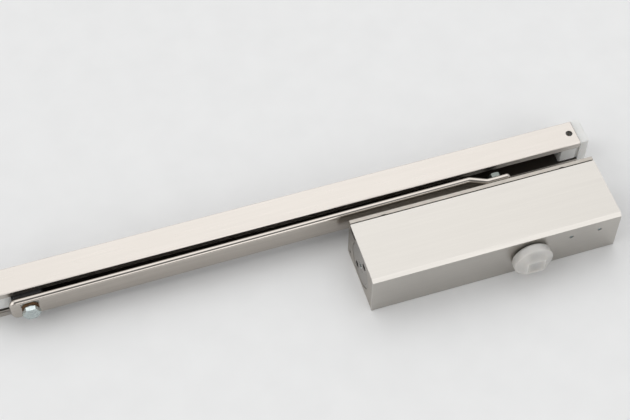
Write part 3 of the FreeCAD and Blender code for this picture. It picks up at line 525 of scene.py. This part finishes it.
screw_flats, screw_centre = hex_size("arm_screw")
screw_low, screw_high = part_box("arm_screw")
screw_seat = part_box("arm_washer")[1].y
arm_screw = hex_bolt("arm_screw_forged", flats=screw_flats, head=screw_high.y - screw_seat,
                     shank_radius=0.003, shank_length=screw_seat - screw_low.y,
                     thread_length=0.007, pitch=0.001)
screw_place = Matrix.Translation((screw_centre.x, screw_seat, screw_centre.z))
arm_screw.matrix_world = screw_place @ towards_body @ flat_up
# The arm's screw gets the darkest zinc colours, darker than plain zinc.
arm_screw.data.materials.append(darker_zinc)
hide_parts("arm_screw")
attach(arm_screw, "spindle_and_arm")
print("bolts", pivot_bolt.dimensions, arm_screw.dimensions)

# %% [markdown]
# ## The spindle cap
# A hollow moulding clips over the spare end of the spindle. It has a round skirt, four soft flats that lean
# in towards the front, a raised square rim and a shallow dish. The CAD cap is nearly solid, and only a thin
# wall glows and lets the steel inside show as a faint dark spot, so the moulding is made again here.
# It is built from rings, as the bolts are: each ring is a circle cut by four flats, and a soft minimum of the
# two leaves the rounded corners that a mould has. The rings run from the dish over the skirt and back inside.

# %% Cap outline
def soft_square(radius, flat):
    """A circle of the radius, cut by four flats at their own distance, with soft corners."""
    sharpness = 24
    quarter = math.pi / 2

    def reach(turn):
        off = (turn + quarter / 2) % quarter - quarter / 2
        return (radius ** -sharpness + (flat / math.cos(off)) ** -sharpness) ** (-1 / sharpness)

    return reach


cap_low, cap_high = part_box("spindle_cap")
cap_radius = (cap_high.x - cap_low.x) / 2
cover_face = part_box("front_cover")[0].y
front_setback = 0.0016
skirt_gap = 0.0005
cap_front = cap_low.y + front_setback
skirt_end = cover_face - cap_front - skirt_gap
neck_end = cap_high.y - cap_front
print("cap front at", round(cap_front, 4), "and skirt end at", round(cap_front + skirt_end, 4))

# %% Cap rings
# A row is a depth behind the front, a radius and, where the ring has flats, their distance from the middle.
no_flat = 1.0
dish = [(0.0013, 0.0004), (0.0013, 0.0020), (0.0011, 0.0034), (0.0008, 0.0046)]
rim = [(0.0006, 0.0078, 0.0055), (0.0002, 0.0083, 0.0059), (0.0, 0.0088, 0.0063),
       (0.0001, 0.0093, 0.0066), (0.0004, 0.0097, 0.0069)]
# The flats lean out from the rim until they run out into the round skirt.
lean_start, lean_depth = 0.0004, 0.0040
lean_radius, lean_flat, lean_spread = 0.0098, 0.0070, 0.0076
lean = [(lean_start + lean_depth * share, lean_radius + (cap_radius - lean_radius) * share,
         lean_flat + lean_spread * share) for share in (0.17, 0.33, 0.5, 0.67, 0.83, 1.0)]
# The skirt's rows count back from its end and in from its radius, and round its back edge off.
skirt = [(0.0065, 0.0), (0.0023, 0.0), (0.0015, 0.0002), (0.0008, 0.00075), (0.0003, 0.0015), (0.0, 0.0022)]
inner = [(skirt_end, 0.0112), (0.0105, 0.0117), (0.0095, 0.0124), (0.0052, 0.0122), (0.0028, 0.0086),
         (neck_end, 0.0086), (neck_end, 0.0073), (0.0027, 0.0073), (0.0027, 0.0004)]
cap_rings = [(depth, radius, no_flat) for depth, radius in dish] + rim + lean
cap_rings += [(skirt_end - back, cap_radius - inward, no_flat) for back, inward in skirt]
cap_rings += [(depth, radius, no_flat) for depth, radius in inner]
print("cap rings", len(cap_rings))

# %% Cap in place
spindle_cap = join_rings("spindle_cap_moulded", [ring_points(soft_square(radius, flat), even(depth))
                                                 for depth, radius, flat in cap_rings])
smooth_by_angle(spindle_cap, 40)
spindle_cap.matrix_world = Matrix.Translation((spindle_axis.x, cap_front, spindle_axis.z)) @ towards_rail
spindle_cap.data.materials.append(cap_plastic)
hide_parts("spindle_cap")
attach(spindle_cap, "spindle_and_arm")
print("spindle cap", spindle_cap.dimensions)

# %% [markdown]
# ## The main spring
# The spring lies inside the body, between its seat and the piston, and shortens as the piston comes closer.
# A rigid copy would run through the seat, so the coil is made here.
# A screw modifier could sweep the wire, but rings set along a helix can also lie flat for the last half turn
# at each end, where a real spring bears on its seat.

# %% Coil rings
spring_low, spring_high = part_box("main_spring")
spring_middle = (spring_low + spring_high) / 2
wire_radius = 0.0019
coil_radius = (spring_high.z - spring_low.z) / 2 - wire_radius
coil_span = spring_high.x - spring_low.x - 2 * wire_radius
coil_turns = 8.0
flat_turns = 0.5
wire_points = 10


def wire_ring(turns):
    """A ring of points round the wire, after so many turns of the coil."""
    climb = min(max((turns - flat_turns) / (coil_turns - 2 * flat_turns), 0.0), 1.0)
    angle = 2 * math.pi * turns
    ring = []
    for index in range(wire_points):
        round_wire = 2 * math.pi * index / wire_points
        reach = coil_radius + wire_radius * math.cos(round_wire)
        along = spring_low.x + wire_radius + coil_span * climb + wire_radius * math.sin(round_wire)
        ring.append(Vector((along, spring_middle.y + reach * math.cos(angle),
                            spring_middle.z + reach * math.sin(angle))))
    return ring


# %% Coil in place
coil_steps = 224
main_spring = join_rings("main_spring_coil", [wire_ring(coil_turns * step / coil_steps)
                                              for step in range(coil_steps + 1)])
smooth_by_angle(main_spring, 60)
main_spring.data.materials.append(spring_wire)
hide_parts("main_spring")
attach(main_spring, "closer_body")
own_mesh(main_spring)
print("main spring", main_spring.dimensions)

# %% [markdown]
# ## Table
# The closer lies on a large pale sheet with very little gloss, which keeps the soft shadows.
# A curved backdrop would hide the horizon too, but a wide flat sheet is simpler and does so from most angles.
# It isn't a piece of the closer.

# %% Table
def pale_table(dark, light):
    material, tree, shader = new_finish("pale_table", 0.5)
    speckle = noise(tree, object_place(tree, (40.0, 40.0, 40.0)), detail=2.0)
    colour_between(tree, shader, speckle, dark, light)
    shader.inputs["Specular IOR Level"].default_value = 0.2
    return material


bpy.ops.mesh.primitive_plane_add(size=40.0, location=(0.0, 0.0, 0.0))
table = bpy.context.object
table.name = "table_top"
table.data.materials.append(pale_table(dark=(0.79, 0.793, 0.793), light=(0.81, 0.813, 0.813)))
print("table", table.dimensions)

# %% [markdown]
# ## Light
# Satin metal looks like what it mirrors, so the light is a whole room and not a few lamps.
# The room is drawn on the world: an even pale level, a broad glow overhead, one behind that the upward faces
# mirror, one in front for the bevelled corner, and one on the left that lifts the shadows there.
# Round the camera the room is darker, as it is in a light tent with an opening for the lens.
# That opening draws the dark lines along the round edges of the arm.

# %% Light
def glow(tree, direction, outer, inner, strength):
    """A soft round patch of light on the sky, full within the inner angle and gone beyond the outer one."""
    sky = tree.nodes.new("ShaderNodeTexCoord").outputs["Generated"]
    facing = vector_math(tree, "DOT_PRODUCT", sky, Vector(direction).normalized())
    patch = tree.nodes.new("ShaderNodeMapRange")
    patch.interpolation_type = "SMOOTHSTEP"
    patch.inputs["From Min"].default_value = math.cos(math.radians(outer))
    patch.inputs["From Max"].default_value = math.cos(math.radians(inner))
    patch.inputs["To Max"].default_value = strength
    tree.links.new(facing, patch.inputs["Value"])
    return patch.outputs["Result"]


world = bpy.data.worlds.new("pale_room")
world.use_nodes = True
bpy.context.scene.world = world
room = world.node_tree
even_light = 0.35
overhead = glow(room, (0.0, 0.0, 1.0), outer=90.0, inner=55.0, strength=0.55)
behind = glow(room, (0.15, 0.57, 0.81), outer=35.0, inner=4.0, strength=0.79)
in_front = glow(room, (0.22, -0.82, 0.525), outer=25.0, inner=12.0, strength=1.20)
on_the_left = glow(room, (-0.86, 0.08, 0.50), outer=48.0, inner=15.0, strength=1.0)
lens_opening = glow(room, (-0.12, -0.38, 0.92), outer=44.0, inner=18.0, strength=-0.68)
level = number_math(room, "ADD", overhead, even_light)
for patch in (behind, in_front, on_the_left, lens_opening):
    level = number_math(room, "ADD", patch, level)
background = room.nodes["Background"]
background.inputs["Color"].default_value = (1.0, 1.0, 1.0, 1.0)
room.links.new(level, background.inputs["Strength"])
print("light", world.name)

# %% [markdown]
# ## Camera
# The camera stands in front of the closer, to its left and high above it, with a long lens that keeps edges
# nearly parallel. Its place was found by matching corners of the body and the rail, so it is given as a place
# and two directions. From these the matrix is built, which leaves no doubt about the order of rotations.

# %% Camera
camera_data = bpy.data.cameras.new("camera")
camera_data.lens = 85.09
camera_data.sensor_width = 36.0
camera = bpy.data.objects.new("camera", camera_data)
eye = Vector((-0.2856, -0.5085, 0.8927))
ahead = Vector((0.1699, 0.5333, -0.8287)).normalized()
upward = Vector((0.2504, 0.7900, 0.5597))
right = ahead.cross(upward).normalized()
up = right.cross(ahead)
looking = Matrix((right, up, -ahead)).transposed().to_4x4()
camera.matrix_world = Matrix.Translation(eye) @ looking
bpy.context.scene.collection.objects.link(camera)
bpy.context.scene.camera = camera
bpy.context.scene.view_settings.view_transform = "Standard"
print("camera at", eye, "with a lens of", camera_data.lens)
